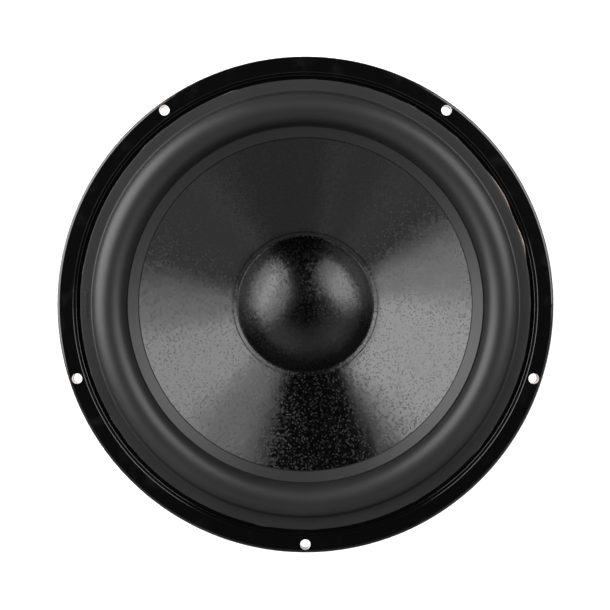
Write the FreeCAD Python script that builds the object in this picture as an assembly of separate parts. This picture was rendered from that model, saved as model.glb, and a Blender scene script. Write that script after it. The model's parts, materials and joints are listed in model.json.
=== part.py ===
"""A ten-inch car subwoofer driver, taken apart the way it would come apart on a bench.

The driver lies on its magnet and fires along +Z. The origin is the centre of the mounting plane, the
rear face of the flange gasket, where the driver meets a baffle. +Y points to the top of the flange's
hole pattern, which has a hole at the bottom, and the push terminals sit on the -Y side. Millimetres.

Radii are measured from the Z axis. A profile is drawn in the XZ plane as (radius, z) and turned.
"""

import FreeCAD
import Part
import math
import os

Vector = FreeCAD.Vector
AXIS_Z = Vector(0, 0, 1)
ORIGIN = Vector(0, 0, 0)

# ---- driving dimensions ---------------------------------------------------------------------------

# flange and its five screw holes
FLANGE_R = 130.5
FLANGE_T = 6.0
FLANGE_CROWN = 0.25
FLANGE_EDGE_R = 1.5
HOLE_CIRCLE_R = 126.0
HOLE_R = 2.7
ARMS = 5
ARM_STEP = 360.0 / ARMS
HOLE_ANGLES = [-90.0 + ARM_STEP * k for k in range(ARMS)]
ARM_ANGLES = [a + ARM_STEP / 2 for a in HOLE_ANGLES]

# gasket on the rear of the flange
GASKET_T = 2.0
GASKET_IN_R = 117.0
GASKET_OUT_R = 129.2

# recess in the flange's front, in two steps, and the skirt that enters the baffle's cut-out
RIM_R = 121.6
RIM_DEPTH = 1.1
RIM_EDGE_R = 0.8
STEP_R = 120.2
STEP_EDGE_R = 0.6
SEAT_DEPTH = 3.6
SKIRT_R = 115.5
SKIRT_IN_R = 111.0
SKIRT_BOTTOM_Z = -8.0

# the basket's arms, from the skirt down to the spider's ledge
ARM_TOP = (111.0, -6.0)
ARM_FOOT = (78.0, -44.0)
ARM_WEB_T = 3.0
ARM_RIB_T = 7.5
ARM_RIB_W = 3.6
ARM_HALF_TOP = 15.0
ARM_HALF_FOOT = 12.0
ARM_FLARE_R = 9.0
ARM_LIMIT_R = 115.0
BEAD_SHARE = 0.09

# spider ledge, lower bowl and base of the basket
LEDGE_Z = -46.5
LEDGE_IN_R = 69.4
LEDGE_T = 3.0
LEDGE_OUT_R = 83.0
BASE_FRONT_Z = -62.0
BASE_T = 4.0
BASE_IN_R = 40.0
BASE_R = 67.0
BOWL_R = 62.5
BOWL_SLOT_HALF = 11.0
BOWL_SLOT_Z = (-58.0, -51.5)

# magnet system
FRONT_PLATE_R = 62.0
FRONT_PLATE_T = 8.0
GAP_R = 27.1
MAGNET_R = 70.0
MAGNET_IN_R = 31.0
MAGNET_T = 15.0
BACK_PLATE_T = 8.0
POLE_R = 24.6
POLE_PROUD = 1.5
VENT_R = 9.5
VENT_MOUTH_R = 15.0
SHORTING_RING_T = 6.0
BOOT_R = 73.5
BOOT_LIP_R = 64.5
BOOT_BACK_LIP_R = 63.0
BOOT_FRONT_T = 2.0
BOOT_BACK_T = 3.0
FRAME_SCREW_CIRCLE_R = 50.0
FRAME_SCREW_R = 2.45
FRAME_SCREW_HEAD_R = 4.6
FRAME_SCREW_HEAD_T = 2.8

# surround: outer lip, half roll and inner lip
SURROUND_T = 1.3
SURROUND_LIP_R = 118.5
ROLL_OUT_R = 112.1
ROLL_IN_R = 94.4
LIP_T = 1.4
GLUE_T = 0.2
INNER_LIP_R = 87.9
INNER_LIP_T = 1.2

# cone, dust cap and voice coil
CONE_SLOPE = 30.0
CONE_R = 95.2
CONE_T = 0.6
CONE_GLUE = 0.2
NECK_DEPTH = 4.0
CAP_R = 37.3
CAP_FLANGE_R = 39.5
CAP_T = 0.7
CAP_SPHERE_R = 54.0
FORMER_R = 25.3
FORMER_T = 0.3
FORMER_TOP_Z = -34.4
FORMER_VENT_R = 2.5
COLLAR_T = 0.3
WINDING_R = 26.5
WINDING_H = 24.0
COIL_TAIL = 1.0

# spider
SPIDER_T = 0.6
SPIDER_IN_R = 25.65
SPIDER_FLAT_R = 29.6
SPIDER_OUT_R = 77.0
SPIDER_RIM_R = 68.6
SPIDER_WAVES = 6
SPIDER_WAVE_H = 1.7
SPIDER_COLLAR_H = 1.9

# push terminals on a pad of the basket
TERMINAL_X = 8.5
TERMINAL_Z = -36.0
PAD_FACE_Y = -87.0
PAD_T = 4.0
PAD_HALF_W = 23.0
PAD_TOP_Z = -26.0
PAD_SHELF_T = 3.5
BLOCK_T = 5.0
BLOCK_HALF_W = 22.5
BLOCK_HALF_H = 9.0
BARREL_R = 6.4
BARREL_L = 10.0
SLEEVE_R = 5.0
SLEEVE_T = 0.4
SLEEVE_FLOOR_T = 0.6
SPRING_WIRE_R = 0.28
SPRING_COIL_R = 3.4
SPRING_TURNS = 3
SPRING_STEPS = 24
SPRING_AIR = 0.06
BOSS_R = 4.5
BOSS_CLEAR = 0.3
WIRE_HOLE_R = 1.6
WIRE_HOLE_OUT = 4.5
BUTTON_R = 5.9
BUTTON_T = 4.0
BUTTON_STEM_R = 4.53
BUTTON_TRAVEL = 2.5
BUTTON_GAP = 3.0
STEM_IN_BARREL = 8.5
LUG_L = 6.5
LUG_HALF_W = 2.5
LUG_T = 0.8
TERMINAL_SCREW_X = 18.6
TERMINAL_SCREW_R = 1.5
TERMINAL_SCREW_HEAD_R = 2.9
TERMINAL_SCREW_HEAD_T = 1.9

# tinsel leads, from the solder pads on the former to the terminals' lugs
LEAD_R = 0.9
PAD_STRIP_ANGLE = 11.5
PAD_STRIP_W = 3.0
PAD_STRIP_T = 0.2
SOLDER_R = 1.3
LEAD_Z = -42.6

# ---- levels and lines that follow from them --------------------------------------------------------

FLANGE_BACK_Z = GASKET_T
FLANGE_FRONT_Z = FLANGE_BACK_Z + FLANGE_T
SEAT_Z = FLANGE_FRONT_Z - SEAT_DEPTH
LIP_TOP_Z = SEAT_Z + GLUE_T + LIP_T
ROLL_MID_R = (ROLL_OUT_R + ROLL_IN_R) / 2
ROLL_H = (ROLL_OUT_R - ROLL_IN_R) / 2
SLOPE = math.tan(math.radians(CONE_SLOPE))
COS_SLOPE = math.cos(math.radians(CONE_SLOPE))
SIN_SLOPE = math.sin(math.radians(CONE_SLOPE))
BASE_BACK_Z = BASE_FRONT_Z - BASE_T
MAGNET_FRONT_Z = BASE_BACK_Z - FRONT_PLATE_T
MAGNET_BACK_Z = MAGNET_FRONT_Z - 2 * MAGNET_T
BACK_Z = MAGNET_BACK_Z - BACK_PLATE_T
GAP_MID_Z = BASE_BACK_Z - FRONT_PLATE_T / 2
POLE_TOP_Z = BASE_BACK_Z + POLE_PROUD
WINDING_TOP_Z = GAP_MID_Z + WINDING_H / 2
WINDING_BOTTOM_Z = GAP_MID_Z - WINDING_H / 2
BLOCK_FACE_Y = PAD_FACE_Y - BLOCK_T
BARREL_END_Y = BLOCK_FACE_Y - BARREL_L
BORE_BOTTOM_Y = PAD_FACE_Y - 1.2
BOSS_END_Y = PAD_FACE_Y + PAD_T + 1.0
WIRE_HOLE_Y = BLOCK_FACE_Y - WIRE_HOLE_OUT
STEM_END_Y = BARREL_END_Y + STEM_IN_BARREL
LUG_END_Y = BOSS_END_Y + LUG_L


def inner_lip_front_z(radius):
    """Height of the surround's inner lip, front face, at a radius."""
    return LIP_TOP_Z + (radius - ROLL_IN_R) * SLOPE


def cone_front_z(radius, lift=0.0):
    """Height of the cone's front face at a radius, or of a face parallel to it at a distance."""
    under = INNER_LIP_T + CONE_GLUE
    return inner_lip_front_z(radius) - (under - lift) / COS_SLOPE


# ---- drawing helpers -------------------------------------------------------------------------------


def profile_face(start, *steps):
    """A face in the XZ plane. A step is a point for a line, or a pair (middle, end) for an arc."""
    here, edges = start, []
    for step in steps + (start,):
        if isinstance(step[0], tuple):
            middle, end = step
            points = [Vector(r, 0, z) for r, z in (here, middle, end)]
            edges.append(Part.Arc(*points).toShape())
        else:
            end = step
            if math.dist(here, end) > 1e-9:
                edges.append(Part.makeLine(Vector(here[0], 0, here[1]), Vector(end[0], 0, end[1])))
        here = end
    return Part.Face(Part.Wire(edges))


def turned(start, *steps):
    """The solid that a profile sweeps in a full turn about Z."""
    return profile_face(start, *steps).revolve(ORIGIN, AXIS_Z, 360)


def ring(r_in, r_out, z_low, z_high):
    """A plain ring with a rectangular section."""
    return turned((r_in, z_low), (r_out, z_low), (r_out, z_high), (r_in, z_high))


def box(x, y, z):
    """A box given as three (low, high) pairs."""
    return Part.makeBox(x[1] - x[0], y[1] - y[0], z[1] - z[0], Vector(x[0], y[0], z[0]))


def rod(radius, start, end):
    """A cylinder between two points."""
    start, end = Vector(*start), Vector(*end)
    return Part.makeCylinder(radius, (end - start).Length, start, end - start)


def spun(shape, angle):
    """A copy of a shape, turned about Z."""
    copy = shape.copy()
    copy.rotate(ORIGIN, AXIS_Z, angle)
    return copy


def spun_copies(shape, angles):
    """Copies of a shape at several angles about Z."""
    return [spun(shape, a) for a in angles]


def softened(shape, radius, wanted):
    """The shape with a fillet on each edge that wanted(edge) picks."""
    return shape.makeFillet(radius, [e for e in shape.Edges if wanted(e)])


def runs_along(axis):
    """A test for straight edges parallel to an axis."""

    def test(edge):
        if not isinstance(edge.Curve, Part.Line):
            return False
        return abs(abs(edge.tangentAt(edge.FirstParameter).dot(axis)) - 1) < 1e-6

    return test


def circle_at(radius, z):
    """A test for a circular edge about Z with that radius and height."""

    def test(edge):
        if not isinstance(edge.Curve, Part.Circle):
            return False
        return abs(edge.Curve.Radius - radius) < 1e-3 and abs(edge.Curve.Center.z - z) < 1e-3

    return test


def outline_prism(points, depth, x=60.0):
    """An outline in (y, z), pushed along +X. Points are as in profile_face."""
    face = profile_face(*points)
    face.rotate(ORIGIN, AXIS_Z, 90)
    face.translate(Vector(x, 0, 0))
    return face.extrude(Vector(depth, 0, 0))


def tube_along(name, points, radius):
    """A round tube whose path is straight runs joined by arcs that are tangent to them."""
    points = [Vector(*p) for p in points]
    edges, here, radii = [], points[0], []
    for before, corner, after in zip(points, points[1:], points[2:]):
        into, out = (corner - before), (after - corner)
        turn = into.getAngle(out)
        cut = 0.45 * min(into.Length, out.Length)
        radii.append(cut / math.tan(turn / 2))
        start = corner - into.normalize() * cut
        end = corner + out.normalize() * cut
        bisector = (start + end) * 0.5 - corner
        to_centre = math.hypot(radii[-1], cut)
        middle = corner + bisector.normalize() * (to_centre - radii[-1])
        edges.append(Part.makeLine(here, start))
        edges.append(Part.Arc(start, middle, end).toShape())
        here = end
    edges.append(Part.makeLine(here, points[-1]))
    path = Part.Wire(edges)
    first = points[1] - points[0]
    section = Part.Wire(Part.makeCircle(radius, points[0], first))
    tube = path.makePipeShell([section], True, True)
    share = tube.Volume / (math.pi * radius**2 * path.Length)
    sizes = ", ".join(f"{r:.1f}" for r in radii)
    print(f"{name}: length {path.Length:.1f}, volume share {share:.4f}, arc radii {sizes}")
    return tube


def cross_recess(depth, reach, width):
    """The cutter for a cross-head recess, opening upwards at z = 0."""
    bar = box((-reach, reach), (-width / 2, width / 2), (-depth, 0.1))
    return bar.fuse(spun(bar, 90))


def pan_screw(shank_r, length, head_r, head_t):
    """A pan-head screw with its head on z = 0, its shank along -Z and a cross recess."""
    dome = head_t * 0.45
    head = turned(
        (0, 0), (head_r, 0), (head_r, head_t - dome),
        ((head_r * 0.72, head_t - dome * 0.28), (0, head_t)),
    )
    shank = Part.makeCylinder(shank_r, length, Vector(0, 0, -length))
    recess = cross_recess(head_t * 0.55, head_r * 0.55, head_r * 0.2)
    recess.translate(Vector(0, 0, head_t))
    return head.fuse(shank).cut(recess).removeSplitter()


# ---- basket ----------------------------------------------------------------------------------------


def arm_line(offset):
    """The two ends of the basket's conical wall, moved outwards from its inner face."""
    run, drop = ARM_FOOT[0] - ARM_TOP[0], ARM_FOOT[1] - ARM_TOP[1]
    length = math.hypot(run, drop)
    out = (-drop / length * offset, run / length * offset)
    return [(r + out[0], z + out[1]) for r, z in (ARM_TOP, ARM_FOOT)]


def bead_corners(offset):
    """Where the bead round the ledge ends, on a line parallel to the arms' inner face."""
    (top_r, top_z), (foot_r, foot_z) = arm_line(offset)
    return (foot_r + (top_r - foot_r) * BEAD_SHARE, foot_z + (top_z - foot_z) * BEAD_SHARE)


def flange_ring():
    """Flange with a faintly crowned face, its stepped recess and the skirt below it."""
    outer_z, middle_r = FLANGE_FRONT_Z - FLANGE_CROWN, (FLANGE_R + RIM_R) / 2
    body = turned(
        (FLANGE_R, FLANGE_BACK_Z), (FLANGE_R, outer_z),
        ((middle_r, FLANGE_FRONT_Z - FLANGE_CROWN / 4), (RIM_R, FLANGE_FRONT_Z)),
        (RIM_R, FLANGE_FRONT_Z - RIM_DEPTH), (STEP_R, FLANGE_FRONT_Z - RIM_DEPTH), (STEP_R, SEAT_Z),
        (SKIRT_IN_R, SEAT_Z), (SKIRT_IN_R, SKIRT_BOTTOM_Z), (SKIRT_R, SKIRT_BOTTOM_Z),
        (SKIRT_R, FLANGE_BACK_Z),
    )
    body = softened(body, FLANGE_EDGE_R, circle_at(FLANGE_R, outer_z))
    body = softened(body, RIM_EDGE_R, circle_at(RIM_R, FLANGE_FRONT_Z))
    body = softened(body, STEP_EDGE_R, circle_at(STEP_R, FLANGE_FRONT_Z - RIM_DEPTH))
    body = softened(body, 0.5, circle_at(FLANGE_R, FLANGE_BACK_Z))
    hole = rod(HOLE_R, (HOLE_CIRCLE_R, 0, FLANGE_BACK_Z - 1), (HOLE_CIRCLE_R, 0, FLANGE_FRONT_Z + 1))
    return body.cut(spun_copies(hole, HOLE_ANGLES))


def arm_outline(half_top, half_foot, z_top, z_foot, flare):
    """Outline of an arm seen along its radius: straight sides that flare into the rings."""
    bend = flare * (1 - math.sqrt(0.5))

    def side(sign):
        foot, top = sign * half_foot, sign * half_top
        return [
            (foot + sign * flare, z_foot),
            ((foot + sign * bend, z_foot + bend), (foot, z_foot + flare)),
            (top, z_top - flare),
            ((top + sign * bend, z_top - bend), (top + sign * flare, z_top)),
        ]

    right, left = side(1), side(-1)
    # the left side is walked from the top down, so each arc keeps its middle and swaps its ends
    down = [left[3][1], (left[3][0], left[2]), left[1][1], (left[1][0], left[0])]
    return right + down


def arms():
    """Five arms of U section: a web with a rib along each edge, open to the outside."""
    inner, outer = arm_line(0), arm_line(ARM_RIB_T)
    web = arm_line(ARM_WEB_T)
    steep = (outer[1][1] - outer[0][1]) / (outer[1][0] - outer[0][0])
    limit = (ARM_LIMIT_R, outer[0][1] + (ARM_LIMIT_R - outer[0][0]) * steep)
    wall = turned(inner[0], (ARM_LIMIT_R, inner[0][1]), limit, outer[1], inner[1])
    prism = outline_prism(
        arm_outline(ARM_HALF_TOP, ARM_HALF_FOOT, SKIRT_BOTTOM_Z, LEDGE_Z, ARM_FLARE_R), 60.0
    )
    arm = wall.common(prism)
    outside = turned(web[0], (150.0, web[0][1]), (150.0, web[1][1] - 20), (web[1][0], web[1][1] - 20), web[1])
    top, foot = SKIRT_BOTTOM_Z - ARM_RIB_W, LEDGE_Z + ARM_RIB_W * 0.4
    half_top, half_foot = ARM_HALF_TOP - ARM_RIB_W, ARM_HALF_FOOT - ARM_RIB_W
    pocket = outline_prism([(-half_foot, foot), (half_foot, foot), (half_top, top), (-half_top, top)], 80.0)
    pocket = softened(pocket, 4.0, runs_along(Vector(1, 0, 0)))
    arm = arm.cut(outside.common(pocket))
    return spun_copies(arm, ARM_ANGLES)


def ledge_and_bowl():
    """Spider ledge, the slotted bowl under it and the base that bolts to the front plate."""
    foot_in = arm_line(0)[1]
    bead_in, bead_out = bead_corners(0), bead_corners(ARM_RIB_T)
    body = turned(
        (LEDGE_IN_R, LEDGE_Z), (foot_in[0], LEDGE_Z), foot_in, bead_in, bead_out,
        (LEDGE_OUT_R + 1.2, LEDGE_Z), (LEDGE_OUT_R, LEDGE_Z - LEDGE_T),
        (LEDGE_IN_R + 4.5, LEDGE_Z - LEDGE_T),
        (BASE_R, BASE_FRONT_Z), (BASE_R, BASE_BACK_Z), (BASE_IN_R, BASE_BACK_Z),
        (BASE_IN_R, BASE_FRONT_Z), (BOWL_R, BASE_FRONT_Z), (LEDGE_IN_R, LEDGE_Z - LEDGE_T - 1),
    )
    body = softened(body, 1.0, circle_at(BASE_IN_R, BASE_FRONT_Z))
    low, high = BOWL_SLOT_Z
    half = (high - low) / 2
    flat, middle = BOWL_SLOT_HALF - half, (low + high) / 2
    slot = outline_prism(
        [(-flat, low), (flat, low), ((BOWL_SLOT_HALF, middle), (flat, high)), (-flat, high),
         ((-BOWL_SLOT_HALF, middle), (-flat, low))], 40.0, x=50.0,
    )
    screw_hole = rod(
        FRAME_SCREW_R + 0.25, (FRAME_SCREW_CIRCLE_R, 0, BASE_BACK_Z - 1),
        (FRAME_SCREW_CIRCLE_R, 0, BASE_FRONT_Z + 1),
    )
    cuts = spun_copies(slot, HOLE_ANGLES) + spun_copies(screw_hole, ARM_ANGLES)
    return body.cut(cuts)


def terminal_pad():
    """Upright pad and its shelf on the -Y side of the ledge, which carry the terminal block."""
    front, back = PAD_FACE_Y, PAD_FACE_Y + PAD_T
    foot_z = LEDGE_Z - LEDGE_T
    pad = box((-PAD_HALF_W, PAD_HALF_W), (front, back), (foot_z, PAD_TOP_Z))
    pad = softened(
        pad, 4.0, lambda e: runs_along(Vector(0, 1, 0))(e) and e.CenterOfMass.z > PAD_TOP_Z - 1
    )
    shelf = box((-PAD_HALF_W, PAD_HALF_W), (PAD_FACE_Y, -LEDGE_OUT_R + 8), (foot_z, foot_z + PAD_SHELF_T))
    shelf = shelf.cut(Part.makeCylinder(LEDGE_OUT_R - 3.0, 60.0, Vector(0, 0, -80.0)))
    pad = pad.fuse(shelf)
    holes = []
    for reach, radius in ((TERMINAL_X, BOSS_R + BOSS_CLEAR), (TERMINAL_SCREW_X, TERMINAL_SCREW_R + 0.05)):
        for x in (-reach, reach):
            holes.append(rod(radius, (x, front - 1, TERMINAL_Z), (x, back + 1, TERMINAL_Z)))
    return pad.cut(holes)


def basket():
    """The cast basket: flange, arms, ledge, bowl, base and terminal pad in one casting."""
    body = flange_ring().fuse(arms() + [ledge_and_bowl(), terminal_pad()])
    return body.removeSplitter()


def mounting_gasket():
    """Foam ring on the rear of the flange, pierced for the mounting screws."""
    foam = ring(GASKET_IN_R, GASKET_OUT_R, 0, GASKET_T)
    hole = rod(HOLE_R, (HOLE_CIRCLE_R, 0, -1), (HOLE_CIRCLE_R, 0, GASKET_T + 1))
    return foam.cut(spun_copies(hole, HOLE_ANGLES))


# ---- magnet system ---------------------------------------------------------------------------------


def front_plate():
    """Steel plate that forms the outer side of the magnetic gap, tapped for the basket's screws."""
    plate = ring(GAP_R, FRONT_PLATE_R, MAGNET_FRONT_Z, BASE_BACK_Z)
    plate = softened(plate, 0.6, circle_at(FRONT_PLATE_R, BASE_BACK_Z))
    hole = rod(
        FRAME_SCREW_R + 0.03, (FRAME_SCREW_CIRCLE_R, 0, MAGNET_FRONT_Z - 1),
        (FRAME_SCREW_CIRCLE_R, 0, BASE_BACK_Z + 1),
    )
    return plate.cut(spun_copies(hole, ARM_ANGLES))


def magnet_ring(z_low):
    """One ferrite ring with bevelled edges."""
    bevel = 1.2
    z_high = z_low + MAGNET_T
    return turned(
        (MAGNET_IN_R + bevel, z_low), (MAGNET_R - bevel, z_low), (MAGNET_R, z_low + bevel),
        (MAGNET_R, z_high - bevel), (MAGNET_R - bevel, z_high), (MAGNET_IN_R + bevel, z_high),
        (MAGNET_IN_R, z_high - bevel), (MAGNET_IN_R, z_low + bevel),
    )


def t_yoke():
    """Back plate and pole forged in one, with a vent through the pole that flares at the rear."""
    bevel = 3.0
    flare = VENT_MOUTH_R - VENT_R
    bend = flare * (1 - math.sqrt(0.5))
    return turned(
        (FRONT_PLATE_R, MAGNET_BACK_Z), (FRONT_PLATE_R, BACK_Z + bevel), (FRONT_PLATE_R - bevel, BACK_Z),
        (VENT_MOUTH_R, BACK_Z), ((VENT_R + bend, BACK_Z + bend), (VENT_R, BACK_Z + flare)),
        (VENT_R, POLE_TOP_Z), (POLE_R - 1, POLE_TOP_Z), (POLE_R, POLE_TOP_Z - 1), (POLE_R, MAGNET_BACK_Z),
    )


def shorting_ring():
    """Aluminium ring round the foot of the pole."""
    return ring(POLE_R + 0.15, MAGNET_IN_R - 0.5, MAGNET_BACK_Z, MAGNET_BACK_Z + SHORTING_RING_T)


def vent_screen():
    """Perforated disc that keeps dirt out of the pole vent."""
    thick, pitch, hole_r = 0.5, 2.3, 0.8
    z = BACK_Z + VENT_MOUTH_R - VENT_R
    disc = Part.makeCylinder(VENT_R, thick, Vector(0, 0, z))
    reach = int(VENT_R / pitch) + 1
    holes = []
    for row in range(-reach, reach + 1):
        for column in range(-reach, reach + 1):
            x, y = (column + 0.5 * (row % 2)) * pitch, row * pitch * math.sqrt(0.75)
            if math.hypot(x, y) < VENT_R - 1.6:
                holes.append(Part.makeCylinder(hole_r, thick + 2, Vector(x, y, z - 1)))
    return disc.cut(holes)


def magnet_boot():
    """Rubber boot stretched over the magnets, with a lip over each end."""
    back = MAGNET_BACK_Z - BOOT_BACK_T
    front = MAGNET_FRONT_Z + BOOT_FRONT_T
    return turned(
        (BOOT_LIP_R, MAGNET_FRONT_Z), (MAGNET_R, MAGNET_FRONT_Z), (MAGNET_R, MAGNET_BACK_Z),
        (BOOT_BACK_LIP_R, MAGNET_BACK_Z), (BOOT_BACK_LIP_R, back), (BOOT_R - 3.5, back),
        ((BOOT_R - 1.03, back + 1.03), (BOOT_R, back + 3.5)), (BOOT_R, front - 2.5),
        ((BOOT_R - 0.73, front - 0.73), (BOOT_R - 2.5, front)), (BOOT_LIP_R, front),
    )


def frame_screws():
    """The screws that hold the basket to the front plate, one at the foot of each arm."""
    screw = pan_screw(FRAME_SCREW_R, BASE_T + FRONT_PLATE_T - 1, FRAME_SCREW_HEAD_R, FRAME_SCREW_HEAD_T)
    screw.translate(Vector(FRAME_SCREW_CIRCLE_R, 0, BASE_FRONT_Z))
    return Part.makeCompound(spun_copies(screw, ARM_ANGLES))


# ---- suspension ------------------------------------------------------------------------------------


def surround():
    """Rubber surround: flat outer lip, half roll and an inner lip that lies on the cone."""
    back_r = ROLL_H - SURROUND_T
    lip_back_shift = INNER_LIP_T / COS_SLOPE
    corner_r = ROLL_IN_R + SURROUND_T
    return turned(
        (SURROUND_LIP_R, LIP_TOP_Z - LIP_T), (SURROUND_LIP_R, LIP_TOP_Z), (ROLL_OUT_R, LIP_TOP_Z),
        ((ROLL_MID_R, LIP_TOP_Z + ROLL_H), (ROLL_IN_R, LIP_TOP_Z)),
        (INNER_LIP_R, inner_lip_front_z(INNER_LIP_R)),
        (INNER_LIP_R + INNER_LIP_T * SIN_SLOPE, inner_lip_front_z(INNER_LIP_R) - INNER_LIP_T * COS_SLOPE),
        (corner_r, inner_lip_front_z(corner_r) - lip_back_shift), (corner_r, LIP_TOP_Z),
        ((ROLL_MID_R, LIP_TOP_Z + back_r), (ROLL_OUT_R - SURROUND_T, LIP_TOP_Z)),
        (ROLL_OUT_R - SURROUND_T, LIP_TOP_Z - LIP_T),
    )


def surround_glue():
    """Film of adhesive between the surround's outer lip and its seat, with a little squeezed out."""
    return ring(ROLL_OUT_R, SURROUND_LIP_R + 0.6, SEAT_Z, SEAT_Z + GLUE_T)


def spider():
    """Corrugated damper: a rim on the ledge, even half waves, and a collar up the former."""
    level = LEDGE_Z + SPIDER_T / 2
    half = SPIDER_T / 2
    step = (SPIDER_RIM_R - SPIDER_FLAT_R) / (2 * SPIDER_WAVES)
    arc_r = (step**2 / 4 + SPIDER_WAVE_H**2) / (2 * SPIDER_WAVE_H)
    drop = arc_r - SPIDER_WAVE_H

    def face_points(side):
        """Arcs of one face from the rim inwards; side is +1 for the front face."""
        found = []
        for k in range(2 * SPIDER_WAVES):
            up = 1 if k % 2 else -1
            centre_z = level - up * drop
            out_r, in_r = SPIDER_RIM_R - k * step, SPIDER_RIM_R - (k + 1) * step
            reach = arc_r + side * up * half
            scale = reach / arc_r
            mid_r = (out_r + in_r) / 2
            start = (mid_r + scale * step / 2, centre_z + up * scale * drop)
            end = (mid_r - scale * step / 2, centre_z + up * scale * drop)
            found.append((start, (mid_r, centre_z + up * reach), end))
        return found

    front, back = face_points(1), face_points(-1)
    steps = [(SPIDER_OUT_R, level + half)]
    for start, middle, end in front:
        steps += [start, (middle, end)]
    collar_r = SPIDER_IN_R + SPIDER_T
    steps += [(collar_r, level + half), (collar_r, level + SPIDER_COLLAR_H)]
    steps += [(SPIDER_IN_R, level + SPIDER_COLLAR_H), (SPIDER_IN_R, level - half)]
    for start, middle, end in reversed(back):
        steps += [end, (middle, start)]
    return turned((SPIDER_OUT_R, level - half), *steps)


# ---- cone and voice coil ---------------------------------------------------------------------------


def cone():
    """Straight-sided woven cone with a short neck round the former."""
    neck_out = FORMER_R + CONE_T
    neck_z = cone_front_z(FORMER_R) - NECK_DEPTH
    return turned(
        (CONE_R, cone_front_z(CONE_R)), (FORMER_R, cone_front_z(FORMER_R)), (FORMER_R, neck_z),
        (neck_out, neck_z), (neck_out, cone_front_z(neck_out, -CONE_T)),
        (CONE_R + CONE_T * SIN_SLOPE, cone_front_z(CONE_R) - CONE_T * COS_SLOPE),
    )


def dust_cap():
    """Domed cap with a conical flange glued to the cone."""
    edge_z = cone_front_z(CAP_R, CAP_T)
    centre_z = edge_z - math.sqrt(CAP_SPHERE_R**2 - CAP_R**2)
    inner_r = CAP_SPHERE_R - CAP_T
    lean = math.asin(CAP_R / CAP_SPHERE_R)
    inner_edge = math.sin(lean) * inner_r
    inner_edge_z = centre_z + math.cos(lean) * inner_r
    half = lean / 2
    return turned(
        (0, centre_z + CAP_SPHERE_R),
        ((CAP_SPHERE_R * math.sin(half), centre_z + CAP_SPHERE_R * math.cos(half)), (CAP_R, edge_z)),
        (CAP_FLANGE_R, cone_front_z(CAP_FLANGE_R, CAP_T)),
        (CAP_FLANGE_R, cone_front_z(CAP_FLANGE_R)),
        (inner_edge, cone_front_z(inner_edge)), (inner_edge, inner_edge_z),
        ((inner_r * math.sin(half), centre_z + inner_r * math.cos(half)), (0, centre_z + inner_r)),
    )


def voice_coil_former():
    """Thin tube that carries the winding, vented below the spider."""
    tube = ring(FORMER_R - FORMER_T, FORMER_R, WINDING_BOTTOM_Z - COIL_TAIL, FORMER_TOP_Z)
    vent_z = (WINDING_TOP_Z + LEDGE_Z) / 2
    vent = rod(FORMER_VENT_R, (FORMER_R - 5, 0, vent_z), (FORMER_R + 5, 0, vent_z))
    return tube.cut(spun_copies(vent, [30.0 + 60.0 * k for k in range(6)]))


def former_collar():
    """Stiffening band inside the top of the former."""
    out_r = FORMER_R - FORMER_T
    return ring(out_r - COLLAR_T, out_r, LEDGE_Z - 1, FORMER_TOP_Z)


def voice_coil_winding():
    """Four layers of copper wire round the former, centred in the gap."""
    return ring(FORMER_R, WINDING_R, WINDING_BOTTOM_Z, WINDING_TOP_Z)


def neck_glue():
    """Bead of adhesive where the former comes through the cone's neck."""
    foot_r = FORMER_R + 1.6
    return turned(
        (FORMER_R, FORMER_TOP_Z), (FORMER_R, cone_front_z(FORMER_R)), (foot_r, cone_front_z(foot_r)),
        ((FORMER_R + 0.9, cone_front_z(FORMER_R + 0.9) + 0.75), (FORMER_R + 0.3, FORMER_TOP_Z)),
    )


def strip_angle(side):
    """Angle of a coil's lead strip about Z; side is +1 for the positive one, at +X."""
    return -90.0 + side * PAD_STRIP_ANGLE


def coil_lead_strips():
    """The two copper tails that run up the former from the winding to the solder points."""
    band = ring(FORMER_R, FORMER_R + PAD_STRIP_T, WINDING_TOP_Z, LEAD_Z + 2.2)
    gate = box((0, FORMER_R + 5), (-PAD_STRIP_W / 2, PAD_STRIP_W / 2), (-90, 0))
    return Part.makeCompound([band.common(spun(gate, strip_angle(s))) for s in (1, -1)])


def solder_point(side):
    """Middle of the solder on a lead strip."""
    reach = FORMER_R + PAD_STRIP_T + 0.5
    angle = math.radians(strip_angle(side))
    return (reach * math.cos(angle), reach * math.sin(angle), LEAD_Z)


def coil_solder():
    """A blob of solder on each strip, where the tinsel lead is joined."""
    keep_out = Part.makeCylinder(FORMER_R + PAD_STRIP_T, 20, Vector(0, 0, LEAD_Z - 10))
    return Part.makeCompound([
        Part.makeSphere(SOLDER_R, Vector(*solder_point(s))).cut(keep_out) for s in (1, -1)
    ])


# ---- tinsel leads ----------------------------------------------------------------------------------


def lead_route(side):
    """Points of a lead, from its solder on the former over the spider to the terminal's lug."""
    x, y, z = solder_point(side)
    lug_top = TERMINAL_Z + LUG_T / 2 + LEAD_R
    away = math.hypot(x, y)
    start = (x * (1 + (SOLDER_R + 0.05) / away), y * (1 + (SOLDER_R + 0.05) / away), z)
    return [
        start,
        (side * 6.3, -35.5, -42.0),
        (side * 7.0, -44.0, -35.8),
        (side * 8.0, -54.5, -30.6),
        (side * 8.6, -65.5, -30.4),
        (side * TERMINAL_X, -73.5, lug_top + 0.6),
        (side * TERMINAL_X, LUG_END_Y - 3.4, lug_top),
    ]


def tinsel_lead(side):
    """One flexible lead, as a plain tube of its real length."""
    return tube_along("tinsel lead", lead_route(side), LEAD_R)


# ---- push terminals --------------------------------------------------------------------------------


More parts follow.
